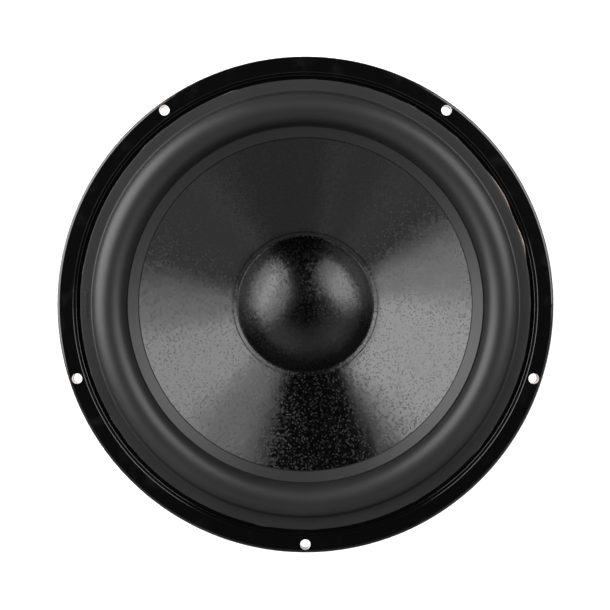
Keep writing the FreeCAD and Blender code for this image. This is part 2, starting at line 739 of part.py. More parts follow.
def terminal_block():
    """Plastic block with two barrels in front and two insulating bosses through the pad."""
    z = TERMINAL_Z
    plate = box(
        (-BLOCK_HALF_W, BLOCK_HALF_W), (BLOCK_FACE_Y, PAD_FACE_Y), (z - BLOCK_HALF_H, z + BLOCK_HALF_H)
    )
    plate = softened(plate, 3.0, runs_along(Vector(0, 1, 0)))
    plate = softened(plate, 0.8, lambda e: abs(e.CenterOfMass.y - BLOCK_FACE_Y) < 1e-6)
    solids, cuts = [], []
    for x in (-TERMINAL_X, TERMINAL_X):
        solids.append(rod(BARREL_R, (x, BLOCK_FACE_Y + 1, z), (x, BARREL_END_Y, z)))
        solids.append(rod(BOSS_R, (x, PAD_FACE_Y - 1, z), (x, BOSS_END_Y, z)))
        cuts.append(rod(SLEEVE_R, (x, BARREL_END_Y - 1, z), (x, BORE_BOTTOM_Y, z)))
        cuts.append(rod(1.2, (x, BORE_BOTTOM_Y - 1, z), (x, BOSS_END_Y + 1, z)))
        cuts.append(rod(WIRE_HOLE_R, (x, WIRE_HOLE_Y, z - 10), (x, WIRE_HOLE_Y, z + 10)))
    for x in (-TERMINAL_SCREW_X, TERMINAL_SCREW_X):
        cuts.append(rod(TERMINAL_SCREW_R + 0.2, (x, BLOCK_FACE_Y - 1, z), (x, PAD_FACE_Y + 1, z)))
    return plate.fuse(solids).cut(cuts).removeSplitter()


def terminal_contact(side):
    """Brass sleeve inside a barrel, its stud through the boss and the solder lug behind it."""
    x, z = side * TERMINAL_X, TERMINAL_Z
    sleeve_end = BARREL_END_Y + 0.8
    floor_y = BORE_BOTTOM_Y - SLEEVE_FLOOR_T
    sleeve = rod(SLEEVE_R, (x, sleeve_end, z), (x, BORE_BOTTOM_Y, z))
    sleeve = sleeve.cut(rod(SLEEVE_R - SLEEVE_T, (x, sleeve_end - 1, z), (x, floor_y, z)))
    sleeve = sleeve.cut(rod(WIRE_HOLE_R, (x, WIRE_HOLE_Y, z - 10), (x, WIRE_HOLE_Y, z + 10)))
    stud = rod(1.2, (x, floor_y, z), (x, BOSS_END_Y + 0.2, z))
    lug = box((x - LUG_HALF_W, x + LUG_HALF_W), (BOSS_END_Y, LUG_END_Y), (z - LUG_T / 2, z + LUG_T / 2))
    lug = softened(lug, 2.0, lambda e: runs_along(AXIS_Z)(e) and e.CenterOfMass.y > LUG_END_Y - 0.1)
    lug = lug.cut(rod(0.8, (x, LUG_END_Y - 1.8, z - 5), (x, LUG_END_Y - 1.8, z + 5)))
    return sleeve.fuse([stud, lug]).removeSplitter()


def terminal_button(side):
    """Push cap on a stem whose cross hole meets the barrel's wire hole when it is pressed."""
    x, z = side * TERMINAL_X, TERMINAL_Z
    cap_y = BARREL_END_Y - BUTTON_GAP
    stem = rod(BUTTON_STEM_R, (x, STEM_END_Y, z), (x, cap_y, z))
    cap = rod(BUTTON_R, (x, cap_y, z), (x, cap_y - BUTTON_T, z))
    cap = softened(cap, 1.2, lambda e: abs(e.CenterOfMass.y - (cap_y - BUTTON_T)) < 1e-6)
    hole_y = WIRE_HOLE_Y - BUTTON_TRAVEL
    hole = rod(WIRE_HOLE_R, (x, hole_y, z - 10), (x, hole_y, z + 10))
    return stem.fuse(cap).cut(hole).removeSplitter()


def terminal_spring(side):
    """Return spring between the sleeve's floor and the stem."""
    low, high = STEM_END_Y + SPRING_AIR, BORE_BOTTOM_Y - SLEEVE_FLOOR_T - SPRING_AIR
    room = high - low - 2 * SPRING_WIRE_R
    start_y = low + SPRING_WIRE_R
    x, z = side * TERMINAL_X, TERMINAL_Z
    steps = SPRING_TURNS * SPRING_STEPS

    def section(k):
        """The wire's six-sided section after k steps along the coil."""
        turn = 2 * math.pi * k / SPRING_STEPS
        out = Vector(math.cos(turn), 0, math.sin(turn))
        middle = Vector(x, start_y + room * k / steps, z) + out * SPRING_COIL_R
        corners = []
        for corner in range(6):
            a = math.pi / 3 * corner
            rise = Vector(0, SPRING_WIRE_R * math.sin(a), 0)
            corners.append(middle + out * (SPRING_WIRE_R * math.cos(a)) + rise)
        return Part.makePolygon(corners + corners[:1])

    return Part.makeLoft([section(k) for k in range(steps + 1)], True, True)


def terminal_screws():
    """The two screws that hold the terminal block to its pad."""
    screw = pan_screw(
        TERMINAL_SCREW_R, BLOCK_T + PAD_T - 0.5, TERMINAL_SCREW_HEAD_R, TERMINAL_SCREW_HEAD_T
    )
    screw.rotate(ORIGIN, Vector(1, 0, 0), 90)
    screws = []
    for x in (-TERMINAL_SCREW_X, TERMINAL_SCREW_X):
        one = screw.copy()
        one.translate(Vector(x, BLOCK_FACE_Y, TERMINAL_Z))
        screws.append(one)
    return Part.makeCompound(screws)


def lug_solder(side):
    """Solder that holds a tinsel lead's end on its lug."""
    x = side * TERMINAL_X
    y = LUG_END_Y - 3.4
    top = TERMINAL_Z + LUG_T / 2
    above_lug = box((x - 3, x + 3), (y - 5, y + 5), (top, top + 5))
    blob = Part.makeSphere(1.7, Vector(x, y - 0.9, top)).common(above_lug)
    return blob.cut([tinsel_lead(side)])


# ---- all the pieces --------------------------------------------------------------------------------

POSITIVE, NEGATIVE = 1, -1

PIECES = {
    "basket": basket,
    "mounting_gasket": mounting_gasket,
    "front_plate": front_plate,
    "front_magnet": lambda: magnet_ring(MAGNET_FRONT_Z - MAGNET_T),
    "rear_magnet": lambda: magnet_ring(MAGNET_BACK_Z),
    "t_yoke": t_yoke,
    "shorting_ring": shorting_ring,
    "vent_screen": vent_screen,
    "magnet_boot": magnet_boot,
    "frame_screws": frame_screws,
    "surround": surround,
    "surround_glue": surround_glue,
    "spider": spider,
    "cone": cone,
    "dust_cap": dust_cap,
    "voice_coil_former": voice_coil_former,
    "former_collar": former_collar,
    "voice_coil_winding": voice_coil_winding,
    "neck_glue": neck_glue,
    "coil_lead_strips": coil_lead_strips,
    "coil_solder": coil_solder,
    "positive_tinsel_lead": lambda: tinsel_lead(POSITIVE),
    "negative_tinsel_lead": lambda: tinsel_lead(NEGATIVE),
    "terminal_block": terminal_block,
    "positive_contact": lambda: terminal_contact(POSITIVE),
    "negative_contact": lambda: terminal_contact(NEGATIVE),
    "positive_button": lambda: terminal_button(POSITIVE),
    "negative_button": lambda: terminal_button(NEGATIVE),
    "positive_spring": lambda: terminal_spring(POSITIVE),
    "negative_spring": lambda: terminal_spring(NEGATIVE),
    "terminal_screws": terminal_screws,
    "positive_lug_solder": lambda: lug_solder(POSITIVE),
    "negative_lug_solder": lambda: lug_solder(NEGATIVE),
}


def main():
    os.makedirs("parts", exist_ok=True)
    for name, make in PIECES.items():
        shape = make()
        if not shape.isValid() or not shape.Solids or min(s.Volume for s in shape.Solids) <= 0:
            print("NOT SOUND:", name, shape.isValid(), len(shape.Solids))
        shape.exportStep(os.path.join("parts", name + ".step"))
        print(f"{name}: {len(shape.Solids)} solids, {shape.Volume / 1000:.2f} cm3")


main()
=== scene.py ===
"""Looks of a ten-inch car subwoofer driver, lying on its magnet and firing along +Z.

Metres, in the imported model's frame: the origin is the centre of the mounting plane, +Y is the top of
the flange's hole pattern, and the push terminals sit on the -Y side. Hard parts keep their CAD shape and
get materials here. Soft, woven and flexing parts are rebuilt as finer meshes in the same places.
"""

import json
import math

import bpy
import numpy as np
from mathutils import Matrix, Vector


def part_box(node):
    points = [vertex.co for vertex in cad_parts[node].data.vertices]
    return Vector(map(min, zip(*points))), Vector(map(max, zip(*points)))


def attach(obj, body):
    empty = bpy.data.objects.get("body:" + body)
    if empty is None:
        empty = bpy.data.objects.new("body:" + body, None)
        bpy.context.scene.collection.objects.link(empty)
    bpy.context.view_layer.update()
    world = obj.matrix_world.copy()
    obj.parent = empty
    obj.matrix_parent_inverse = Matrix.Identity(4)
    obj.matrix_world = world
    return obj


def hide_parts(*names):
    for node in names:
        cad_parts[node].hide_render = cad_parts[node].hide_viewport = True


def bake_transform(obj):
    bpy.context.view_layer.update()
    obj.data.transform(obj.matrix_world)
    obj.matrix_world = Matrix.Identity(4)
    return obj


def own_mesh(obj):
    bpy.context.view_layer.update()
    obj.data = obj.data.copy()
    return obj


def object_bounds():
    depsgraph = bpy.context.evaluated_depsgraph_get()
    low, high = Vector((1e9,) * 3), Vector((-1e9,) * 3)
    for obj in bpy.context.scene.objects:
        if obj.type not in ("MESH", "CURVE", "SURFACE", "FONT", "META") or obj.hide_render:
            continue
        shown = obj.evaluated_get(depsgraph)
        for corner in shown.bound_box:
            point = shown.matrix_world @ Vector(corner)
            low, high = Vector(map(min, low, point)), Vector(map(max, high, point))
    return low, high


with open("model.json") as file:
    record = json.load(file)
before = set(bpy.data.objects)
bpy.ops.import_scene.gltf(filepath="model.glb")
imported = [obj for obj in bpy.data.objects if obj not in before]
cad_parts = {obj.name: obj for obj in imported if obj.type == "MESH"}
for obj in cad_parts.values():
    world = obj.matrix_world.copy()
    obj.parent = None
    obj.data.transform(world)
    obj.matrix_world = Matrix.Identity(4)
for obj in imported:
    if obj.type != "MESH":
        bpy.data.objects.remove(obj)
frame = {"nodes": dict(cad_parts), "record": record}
CAD_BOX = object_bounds()

MM = 0.001
MOUNTS = {m["name"]: m for m in frame["record"]["mounts"]}

# ---- sizes that the frame gives --------------------------------------------------------------------

SURROUND_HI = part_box("surround")[1]
CONE_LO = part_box("cone")[0]
SPIDER_LO, SPIDER_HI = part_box("spider")
GASKET_LO, GASKET_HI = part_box("mounting_gasket")
BOOT_LO, BOOT_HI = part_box("magnet_boot")
MAGNET_LO, MAGNET_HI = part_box("rear_magnet")
FRONT_MAGNET_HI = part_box("front_magnet")[1]
FLOOR_Z = CAD_BOX[0][2]

HOLES = MOUNTS["flange_holes"]["dims"]
HOLE_CIRCLE_R = HOLES["pcd_mm"] / 2 * MM
HOLE_R = HOLES["hole_r_mm"] * MM
HOLE_ANGLES = [math.radians(-90 + 360 / HOLES["count"] * k) for k in range(HOLES["count"])]

# ---- sizes inside those boxes, as the CAD has them --------------------------------------------------

ROLL_OUT_R = 112.1 * MM
ROLL_IN_R = 94.4 * MM
SURROUND_T = 1.3 * MM
LIP_T = 1.4 * MM
INNER_LIP_R = 87.9 * MM
INNER_LIP_T = 1.2 * MM
SLOPE = math.radians(30.0)
CONE_R = 95.2 * MM
CONE_T = 0.6 * MM
CONE_GLUE = 0.2 * MM
FORMER_R = 25.3 * MM
CAP_R = 37.3 * MM
CAP_FLANGE_R = 39.5 * MM
CAP_T = 0.7 * MM
CAP_SPHERE_R = 54.0 * MM
GASKET_IN_R = 117.0 * MM
BOOT_LIP_R = 64.5 * MM
BOOT_BACK_LIP_R = 63.0 * MM
SPIDER_T = 0.6 * MM
SPIDER_IN_R = 25.65 * MM
SPIDER_FLAT_R = 29.6 * MM
SPIDER_RIM_R = 68.6 * MM
SPIDER_WAVES = 6
SPIDER_WAVE_H = 1.7 * MM
LEAD_R = 0.9 * MM
STRIP_ANGLE = 11.5            # degrees from -Y to the solder point of each lead
SOLDER_REACH = 2.05 * MM      # from the former out to where a lead starts

ROLL_R = (ROLL_OUT_R - ROLL_IN_R) / 2
ROLL_MID_R = (ROLL_OUT_R + ROLL_IN_R) / 2
LIP_TOP_Z = SURROUND_HI[2] - ROLL_R
SEAT_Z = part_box("surround_glue")[0][2]

# ---- meshes ----------------------------------------------------------------------------------------


def mesh_object(name, points, faces, sharp=40.0):
    """A smooth-shaded mesh object, with edges steeper than a limit kept sharp."""
    mesh = bpy.data.meshes.new(name)
    mesh.from_pydata([tuple(p) for p in points], [], faces)
    mesh.validate()
    mesh.shade_smooth()
    mesh.set_sharp_from_angle(angle=math.radians(sharp))
    piece = bpy.data.objects.new(name, mesh)
    bpy.context.scene.collection.objects.link(piece)
    return piece


def grid_faces(rows, columns, close_rows=False):
    """Quads of a grid of points numbered row by row, in which each row is a closed ring."""
    faces = []
    for i in range(rows if close_rows else rows - 1):
        for j in range(columns):
            a, b = i * columns + j, i * columns + (j + 1) % columns
            c, d = (i + 1) % rows * columns + (j + 1) % columns, (i + 1) % rows * columns + j
            faces.append((a, b, c, d))
    return faces


def ring(radius, angles, z):
    """Points round the Z axis; the radius and the height may differ from angle to angle."""
    heights = np.broadcast_to(z, angles.shape)
    return np.column_stack([radius * np.cos(angles), radius * np.sin(angles), heights])


def turned(name, outline, segments, sharp):
    """The closed outline of (radius, z) points, turned about Z."""
    angles = np.linspace(0, 2 * math.pi, segments, endpoint=False)
    points = np.concatenate([ring(radius, angles, z) for radius, z in outline])
    return mesh_object(name, points, [f[::-1] for f in grid_faces(len(outline), segments, True)], sharp)


def line(start, end, steps):
    """Points from start towards end, without the end."""
    start, end = np.array(start, float), np.array(end, float)
    return [start + (end - start) * k / steps for k in range(steps)]


def arc(centre, radius, start, end, steps):
    """Points on an arc, both ends included; angles in degrees."""
    angles = np.radians(np.linspace(start, end, steps + 1))
    return [np.array([centre[0] + radius * math.cos(a), centre[1] + radius * math.sin(a)]) for a in angles]


def bend(start, corner, end, steps):
    """Points on a smooth bend, which leaves its start and meets its end in line with the corner."""
    shares = np.linspace(0, 1, steps + 1)
    return [(1 - t) ** 2 * start + 2 * t * (1 - t) * corner + t**2 * end for t in shares]


def rounded(points, radii, steps=5):
    """An outline's (radius, z) corners, each rounded by its own radius, or left sharp by 0."""
    points = [np.array(p, float) for p in points]
    result = []
    for k, (corner, r) in enumerate(zip(points, radii)):
        before, after = points[k - 1], points[(k + 1) % len(points)]
        into, out = before - corner, after - corner
        into, out = into / np.linalg.norm(into), out / np.linalg.norm(out)
        half = math.acos(np.clip(np.dot(into, out), -1, 1)) / 2
        if r <= 0 or abs(half - math.pi / 2) < 1e-3:
            result.append(corner)
            continue
        reach = r / math.tan(half)
        result += bend(corner + into * reach, corner, corner + out * reach, steps)
    return result


def ripple(angles, counts, phases):
    """A smooth, repeatable waviness between about -1 and 1 round a circle."""
    waves = [np.sin(c * angles + p) for c, p in zip(counts, phases)]
    return sum(waves) / len(waves)


# ---- materials -------------------------------------------------------------------------------------


class Paint:
    """One material, with short names for the nodes that it is built from."""

    def __init__(self, name, colour, roughness, metallic=0.0, **sockets):
        self.material = bpy.data.materials.new(name)
        self.material.use_nodes = True
        self.tree = self.material.node_tree
        self.bsdf = self.tree.nodes["Principled BSDF"]
        self.bsdf.inputs["Base Color"].default_value = (*colour, 1.0)
        self.bsdf.inputs["Roughness"].default_value = roughness
        self.bsdf.inputs["Metallic"].default_value = metallic
        for socket, value in sockets.items():
            self.bsdf.inputs[socket.replace("_", " ")].default_value = value

    def node(self, kind, **settings):
        found = self.tree.nodes.new("ShaderNode" + kind)
        for key, value in settings.items():
            setattr(found, key, value)
        return found

    def feed(self, value, socket):
        if isinstance(value, (int, float, tuple)):
            socket.default_value = value
        else:
            self.tree.links.new(value, socket)

    def math(self, operation, *values):
        found = self.node("Math", operation=operation)
        for k, value in enumerate(values):
            self.feed(value, found.inputs[k])
        return found.outputs[0]

    def vector(self, operation, *values):
        found = self.node("VectorMath", operation=operation)
        for k, value in enumerate(values):
            self.feed(value, found.inputs[k])
        return found.outputs[0]

    def place(self):
        """The point in the part's own frame, in metres."""
        return self.node("TexCoord").outputs["Object"]

    def parts(self, vector):
        """Its X, Y and Z."""
        found = self.node("SeparateXYZ")
        self.feed(vector, found.inputs[0])
        return found.outputs

    def from_axis(self, point):
        """How far a point is from the Z axis."""
        x, y, _ = self.parts(point)
        squares = self.math("ADD", self.math("MULTIPLY", x, x), self.math("MULTIPLY", y, y))
        return self.math("SQRT", squares)

    def noise(self, scale, detail=3.0, roughness=0.5):
        found = self.node("TexNoise")
        self.feed(self.place(), found.inputs["Vector"])
        found.inputs["Scale"].default_value = scale
        found.inputs["Detail"].default_value = detail
        found.inputs["Roughness"].default_value = roughness
        return found.outputs["Fac"]

    def spread(self, value, low, high, from_low=0.0, from_high=1.0):
        """The value moved from one range to another, and kept inside it."""
        found = self.node("MapRange")
        self.feed(value, found.inputs["Value"])
        found.inputs["From Min"].default_value = from_low
        found.inputs["From Max"].default_value = from_high
        found.inputs["To Min"].default_value = low
        found.inputs["To Max"].default_value = high
        return found.outputs[0]

    def mix(self, share, first, second):
        """A colour between two, by share."""
        found = self.node("Mix", data_type="RGBA")
        self.feed(share, found.inputs["Factor"])
        for value, socket in ((first, found.inputs[6]), (second, found.inputs[7])):
            self.feed((*value, 1.0) if isinstance(value, tuple) else value, socket)
        return found.outputs[2]

    def bump(self, height, depth, normal=None):
        """The normal of a surface raised by height times depth, over another normal where one is given."""
        found = self.node("Bump")
        found.inputs["Strength"].default_value = 1.0
        found.inputs["Distance"].default_value = depth
        self.feed(height, found.inputs["Height"])
        if normal is not None:
            self.feed(normal, found.inputs["Normal"])
        return found.outputs[0]

    def use(self, **sockets):
        """Links values to the shader's sockets, and gives the finished material."""
        for socket, value in sockets.items():
            self.feed(value, self.bsdf.inputs[socket.replace("_", " ")])
        return self.material


def weave(paint, pitch, lean, scatter):
    """Plain weave seen from the front: its height, a random value per crossing, and a leaned normal.

    Warp and weft lean apart by `lean`, and each crossing of two yarns strays from that by up to `scatter`.
    A yarn is highest in the middle of its crossing, and falls to `dip` of that height at the ends.
    """
    dip = 0.4
    x, y, _ = paint.parts(paint.place())
    u, v = paint.math("MULTIPLY", x, 1 / pitch), paint.math("MULTIPLY", y, 1 / pitch)
    column, row = paint.math("FLOOR", u), paint.math("FLOOR", v)
    warp = paint.math("FLOORED_MODULO", paint.math("ADD", column, row), 2.0)
    across = paint.math("SINE", paint.math("MULTIPLY", paint.math("FRACT", u), math.pi))
    along = paint.math("SINE", paint.math("MULTIPLY", paint.math("FRACT", v), math.pi))
    warp_height = paint.math("MULTIPLY", across, paint.math("MULTIPLY_ADD", along, 1 - dip, dip))
    weft_height = paint.math("MULTIPLY", along, paint.math("MULTIPLY_ADD", across, 1 - dip, dip))
    lift = paint.math("MULTIPLY", paint.math("SUBTRACT", warp_height, weft_height), warp)
    height = paint.math("ADD", weft_height, lift)
    cell = paint.node("CombineXYZ")
    paint.feed(column, cell.inputs[0])
    paint.feed(row, cell.inputs[1])
    chance = paint.node("TexWhiteNoise")
    paint.feed(cell.outputs[0], chance.inputs["Vector"])
    centred = paint.vector("SUBTRACT", chance.outputs["Color"], (0.5, 0.5, 0.5))
    leaned = paint.vector("MULTIPLY", centred, (2 * scatter, 2 * scatter, 0.0))
    swing = paint.node("CombineXYZ")
    paint.feed(paint.spread(warp, -lean, lean), swing.inputs[0])
    paint.feed(paint.spread(warp, lean, -lean), swing.inputs[1])
    leaned = paint.vector("ADD", leaned, swing.outputs[0])
    surface = paint.node("NewGeometry").outputs["Normal"]
    normal = paint.vector("NORMALIZE", paint.vector("ADD", surface, leaned))
    return height, chance.outputs["Value"], normal


def cone_weave():
    """Black glass-fibre weave, filled with gloss resin."""
    paint = Paint("woven cone", (0.002, 0.002, 0.002), 0.24)
    height, chance, normal = weave(paint, 0.72 * MM, 0.065, 0.028)
    # a few random crossings are painted lighter on their yarn crowns: painted glints on the crossings, over a
    # random tone of the yarns
    tone_and_glints = paint.math("MULTIPLY", height, paint.math("POWER", chance, 5.0))
    colour = paint.mix(tone_and_glints, (0.0003, 0.0003, 0.0003), (0.006, 0.006, 0.0062))
    patches = paint.noise(38.0, 2.0)
    per_cell = paint.spread(paint.math("POWER", chance, 3.0), 0.08, 0.42)
    rough = paint.math("ADD", per_cell, paint.spread(patches, -0.02, 0.02))
    return paint.use(Base_Color=colour, Roughness=rough, Normal=paint.bump(height, 0.012 * MM, normal))


def cap_weave():
    """Finer cloth of the dust cap, sealed and slightly satin."""
    paint = Paint("dust cap cloth", (0.002, 0.002, 0.002), 0.3, Specular_IOR_Level=0.46)
    height, chance, normal = weave(paint, 0.7 * MM, 0.06, 0.05)
    # a few random crossings are painted lighter on their yarn crowns: painted glints on the crossings, over a
    # random tone of the yarns
    tone_and_glints = paint.math("MULTIPLY", height, paint.math("POWER", chance, 4.0))
    colour = paint.mix(tone_and_glints, (0.0002, 0.0002, 0.0002), (0.004, 0.004, 0.0041))
    per_cell = paint.spread(chance, 0.09, 0.32)
    rough = paint.math("ADD", per_cell, paint.spread(paint.noise(60.0, 2.0), -0.03, 0.03))
    return paint.use(Base_Color=colour, Roughness=rough, Normal=paint.bump(height, 0.015 * MM, normal))


def surround_rubber():
    """Moulded rubber with a faint grain and a satin bloom."""
    paint = Paint("surround rubber", (0.014, 0.014, 0.0145), 0.42, Specular_IOR_Level=0.37)
    grain = paint.noise(2600.0, 2.0)
    bloom = paint.noise(22.0, 3.0)
    colour = paint.mix(bloom, (0.0078, 0.0078, 0.0081), (0.0138, 0.0138, 0.0143))
    rough = paint.spread(bloom, 0.40, 0.49)
    return paint.use(Base_Color=colour, Roughness=rough, Normal=paint.bump(grain, 0.02 * MM))


def hole_mask(paint, reach):
    """1 within a distance of the axis of any flange hole."""
    nearest = None
    spot = paint.place()
    for angle in HOLE_ANGLES:
        axis = (HOLE_CIRCLE_R * math.cos(angle), HOLE_CIRCLE_R * math.sin(angle), 0.0)
        away = paint.from_axis(paint.vector("SUBTRACT", spot, axis))
        nearest = away if nearest is None else paint.math("MINIMUM", nearest, away)
    return paint.math("LESS_THAN", nearest, reach)


def basket_coat():
    """Gloss black powder coat with faint orange peel, and bare metal in the drilled holes."""
    paint = Paint("basket powder coat", (0.0015, 0.0015, 0.0016), 0.15)
    bare = hole_mask(paint, HOLE_R + 0.04 * MM)
    peel = paint.noise(300.0, 2.0)
    dust = paint.spread(paint.noise(90.0, 4.0), 0.0, 1.0, 0.55, 0.75)
    coat = paint.mix(dust, (0.0012, 0.0012, 0.0013), (0.003, 0.003, 0.0031))
    metal = paint.mix(paint.noise(700.0, 2.0), (0.62, 0.50, 0.45), (0.80, 0.72, 0.68))
    rough = paint.math("ADD", paint.spread(dust, 0.13, 0.22), paint.math("MULTIPLY", bare, 0.25))
    return paint.use(
        Base_Color=paint.mix(bare, coat, metal), Metallic=paint.math("MULTIPLY", bare, 0.6),
        Roughness=rough, Normal=paint.bump(peel, 0.008 * MM),
    )


def turned_metal(name, dark, bright, roughness):
    """Metal with the fine rings that a lathe leaves, and patches of dull plating."""
    pitch = 0.35 * MM
    paint = Paint(name, bright, roughness, 0.95)
    spot = paint.place()
    along = paint.math("ADD", paint.from_axis(spot), paint.parts(spot)[2])
    rings = paint.math("SINE", paint.math("MULTIPLY", along, 2 * math.pi / pitch))
    patch = paint.noise(45.0, 4.0)
    fine = paint.noise(1500.0, 2.0)
    height = paint.math("ADD", paint.math("MULTIPLY", rings, 0.5), fine)
    return paint.use(
        Base_Color=paint.mix(patch, dark, bright),
        Roughness=paint.spread(patch, roughness + 0.12, roughness - 0.06),
        Normal=paint.bump(height, 0.012 * MM),
    )


def plain_metal(name, dark, bright, roughness, scale=600.0, depth=0.02 * MM):
    """Small metal parts: slightly uneven colour and sheen."""
    paint = Paint(name, bright, roughness, 1.0)
    patch = paint.noise(scale, 3.0)
    return paint.use(
        Base_Color=paint.mix(patch, dark, bright),
        Roughness=paint.spread(patch, roughness + 0.12, roughness - 0.05),
        Normal=paint.bump(paint.noise(scale * 3, 2.0), depth),
    )


def moulded(name, dark, bright, roughness, grain=1400.0, depth=0.03 * MM, **sockets):
    """Moulded plastic or rubber: fine grain, and a sheen that varies a little."""
    paint = Paint(name, bright, roughness, **sockets)
    patch = paint.noise(55.0, 3.0)
    return paint.use(
        Base_Color=paint.mix(patch, dark, bright),
        Roughness=paint.spread(patch, roughness - 0.06, roughness + 0.08),
        Normal=paint.bump(paint.noise(grain, 2.0), depth),
    )


def foam():
    """Closed-cell foam, with its cells cut open at the surface and painted darker in their pits as shade."""
    paint = Paint("gasket foam", (0.03, 0.03, 0.031), 0.9)
    cells = paint.node("TexVoronoi")
    paint.feed(paint.place(), cells.inputs["Vector"])
    cells.inputs["Scale"].default_value = 2200.0
    # painted shade: the cells' pits, where the bump is lowest, are painted darker
    colour = paint.mix(cells.outputs["Distance"], (0.014, 0.014, 0.015), (0.05, 0.05, 0.052))
    return paint.use(Base_Color=colour, Normal=paint.bump(cells.outputs["Distance"], 0.12 * MM))


def spider_cloth():
    """Resin-dipped cotton: an open weave, painted darker and browner in the troughs, as shade between the
    yarns.
    """
    paint = Paint("spider cloth", (0.60, 0.42, 0.18), 0.8, Sheen_Weight=0.15)
    height, _, normal = weave(paint, 0.8 * MM, 0.05, 0.04)
    stain = paint.noise(35.0, 4.0)
    base = paint.mix(stain, (0.50, 0.31, 0.11), (0.68, 0.50, 0.24))
    # painted shade: the weave's troughs, where the yarns dip, are darkened
    colour = paint.mix(height, (0.22, 0.12, 0.04), base)
    rough = paint.spread(stain, 0.7, 0.88)
    return paint.use(Base_Color=colour, Roughness=rough, Normal=paint.bump(height, 0.15 * MM, normal))


def ferrite():
    """Sintered ferrite: near black, speckled, with ground faces."""
    paint = Paint("ferrite", (0.05, 0.05, 0.052), 0.55)
    speckle = paint.noise(900.0, 5.0, 0.7)
    colour = paint.mix(paint.spread(speckle, 0.0, 1.0, 0.35, 0.7), (0.03, 0.03, 0.032), (0.11, 0.11, 0.115))
    rough = paint.spread(speckle, 0.45, 0.7)
    return paint.use(Base_Color=colour, Roughness=rough, Normal=paint.bump(speckle, 0.05 * MM))


def wound_copper():
    """Enamelled wire laid turn by turn, painted darker where the turns meet, as shade in the grooves between
    them.
    """
    wire = 0.35 * MM
    paint = Paint("enamelled copper wire", (0.70, 0.30, 0.14), 0.25, 1.0, Coat_Weight=0.6, Coat_Roughness=0.1)
    _, _, z = paint.parts(paint.place())
    turns = paint.math("ABSOLUTE", paint.math("SINE", paint.math("MULTIPLY", z, math.pi / wire)))
    # painted shade: darkest in the grooves between the wires, brightest on each turn's crown
    colour = paint.mix(turns, (0.30, 0.10, 0.04), (0.74, 0.34, 0.17))
    return paint.use(Base_Color=colour, Normal=paint.bump(turns, 0.1 * MM))


def amber_glue():
    """Cured adhesive, glossy and brown, cloudier where it is thick."""
    paint = Paint("amber adhesive", (0.16, 0.10, 0.07), 0.14, Coat_Weight=0.9, Coat_Roughness=0.06)
    cloud = paint.noise(120.0, 3.0)
    colour = paint.mix(cloud, (0.10, 0.07, 0.055), (0.30, 0.22, 0.18))
    rough = paint.spread(cloud, 0.1, 0.24)
    return paint.use(Base_Color=colour, Roughness=rough, Normal=paint.bump(cloud, 0.1 * MM))


def film(name, dark, bright, roughness):
    """Wound film or paper: faint bands round the former."""
    band = 4.5 * MM
    paint = Paint(name, bright, roughness)
    _, _, z = paint.parts(paint.place())
    bands = paint.math("SINE", paint.math("MULTIPLY", z, 2 * math.pi / band))
    patch = paint.math("ADD", paint.math("MULTIPLY", bands, 0.15), paint.noise(150.0, 3.0))
    return paint.use(
        Base_Color=paint.mix(patch, dark, bright),
        Roughness=paint.spread(patch, roughness + 0.08, roughness - 0.08),
        Normal=paint.bump(paint.noise(1200.0, 2.0), 0.02 * MM),
    )


def glowing_floor():
    """Pale floor that glows, with painted light: its colour and glow are even near the driver and fade
    outward, a painted pool of light, so that its far part lights the driver less.
    """
    fade_start, fade_end = 0.5, 1.3
    paint = Paint("glowing floor with painted light pool", (0.93, 0.93, 0.93), 0.7, Emission_Strength=0.3)
    patch = paint.noise(3.0, 2.0)
    # painted light: the floor glows, and its colour and glow fade with distance from the driver like a pool
    # of light
    fade = paint.spread(paint.from_axis(paint.place()), 0.0, 1.0, fade_start, fade_end)
    near = paint.mix(patch, (0.92, 0.92, 0.92), (0.94, 0.94, 0.94))
    return paint.use(
        Base_Color=paint.mix(fade, near, (0.62, 0.62, 0.62)),
        Emission_Color=paint.mix(fade, (1.0, 1.0, 1.0), (0.5, 0.5, 0.5)),
    )


# ---- finishing a piece -----------------------------------------------------------------------------


def dress(piece, material):
    """Gives an object one material."""
    piece.data.materials.clear()
    piece.data.materials.append(material)
    return piece


def flex(piece):
    """Bakes the piece's placing into its mesh, and reads its points into an array that nothing uses.
    """
    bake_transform(piece)
    points = np.empty(len(piece.data.vertices) * 3)
    piece.data.vertices.foreach_get("co", points)


# ---- surround --------------------------------------------------------------------------------------


def inner_lip_z(radius, lift=0.0):
    """Height of the surround's inner lip, or of a face parallel to it."""
    return LIP_TOP_Z + (radius - ROLL_IN_R) * math.tan(SLOPE) + lift / math.cos(SLOPE)


